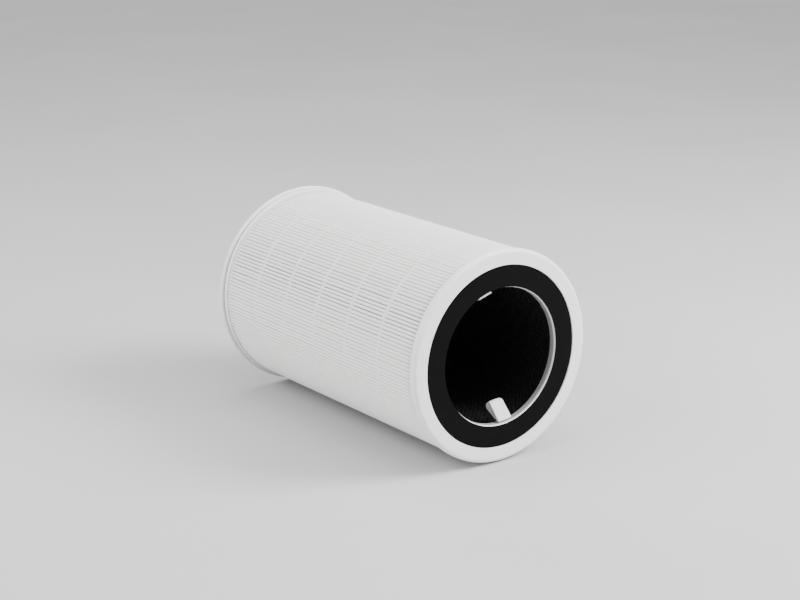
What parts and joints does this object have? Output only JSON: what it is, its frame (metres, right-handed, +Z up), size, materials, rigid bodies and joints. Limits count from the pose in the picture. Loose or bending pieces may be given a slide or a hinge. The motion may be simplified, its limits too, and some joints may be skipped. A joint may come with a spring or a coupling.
{
  "type": "air purifier filter cartridge",
  "caption": "Cylindrical pleated filter cartridge with end caps, foam gaskets, a carbon layer round an open core and folding ribbon pull tabs.",
  "frame": {"origin": "on the surface it lies on, below the middle of the cartridge", "axes": "+Y along the cartridge's axis from the pull tab end to the rear cap, +Z up, the cartridge lying on its side"},
  "size_m": [0.204, 0.322, 0.204],
  "materials": {
    "cap_plastic": "satin",
    "gasket_foam": "matte",
    "adhesive_film": "satin",
    "potting_adhesive": "satin",
    "filter_paper": "matte",
    "hot_melt": "satin",
    "frame_plastic": "satin",
    "carbon_net": "matte",
    "carbon": "matte",
    "ribbon": "matte"
  },
  "bodies": {
    "cartridge": {"front_cap": "cap_plastic", "rear_cap": "cap_plastic", "front_gasket": "gasket_foam", "rear_gasket": "gasket_foam", "front_gasket_tape": "adhesive_film", "rear_gasket_tape": "adhesive_film", "front_potting": "potting_adhesive", "rear_potting": "potting_adhesive", "pleated_media": "filter_paper", "media_seam": "potting_adhesive", "outer_glue_beads": "hot_melt", "inner_glue_beads": "hot_melt", "support_frame": "frame_plastic", "carbon_outer_net": "carbon_net", "carbon_bed": "carbon", "carbon_inner_net": "carbon_net", "lower_tab_root": "ribbon", "upper_tab_root": "ribbon"},
    "lower_tab": {"lower_pull_tab": "ribbon"},
    "upper_tab": {"upper_pull_tab": "ribbon"}
  },
  "joints": [
    {"name": "lower_tab_fold", "type": "hinge", "parent": "cartridge", "child": "lower_tab", "pos_m": [0.00705, -0.1572, 0.0401], "axis": [0.9936, 0, 0.1132], "range_deg": [-27, 120], "stiffness_Nm_per_rad": 0.002},
    {"name": "upper_tab_fold", "type": "hinge", "parent": "cartridge", "child": "upper_tab", "pos_m": [-0.01821, -0.1572, 0.16158], "axis": [-0.9563, 0, -0.2924], "range_deg": [-2, 147], "stiffness_Nm_per_rad": 0.002}
  ]
}
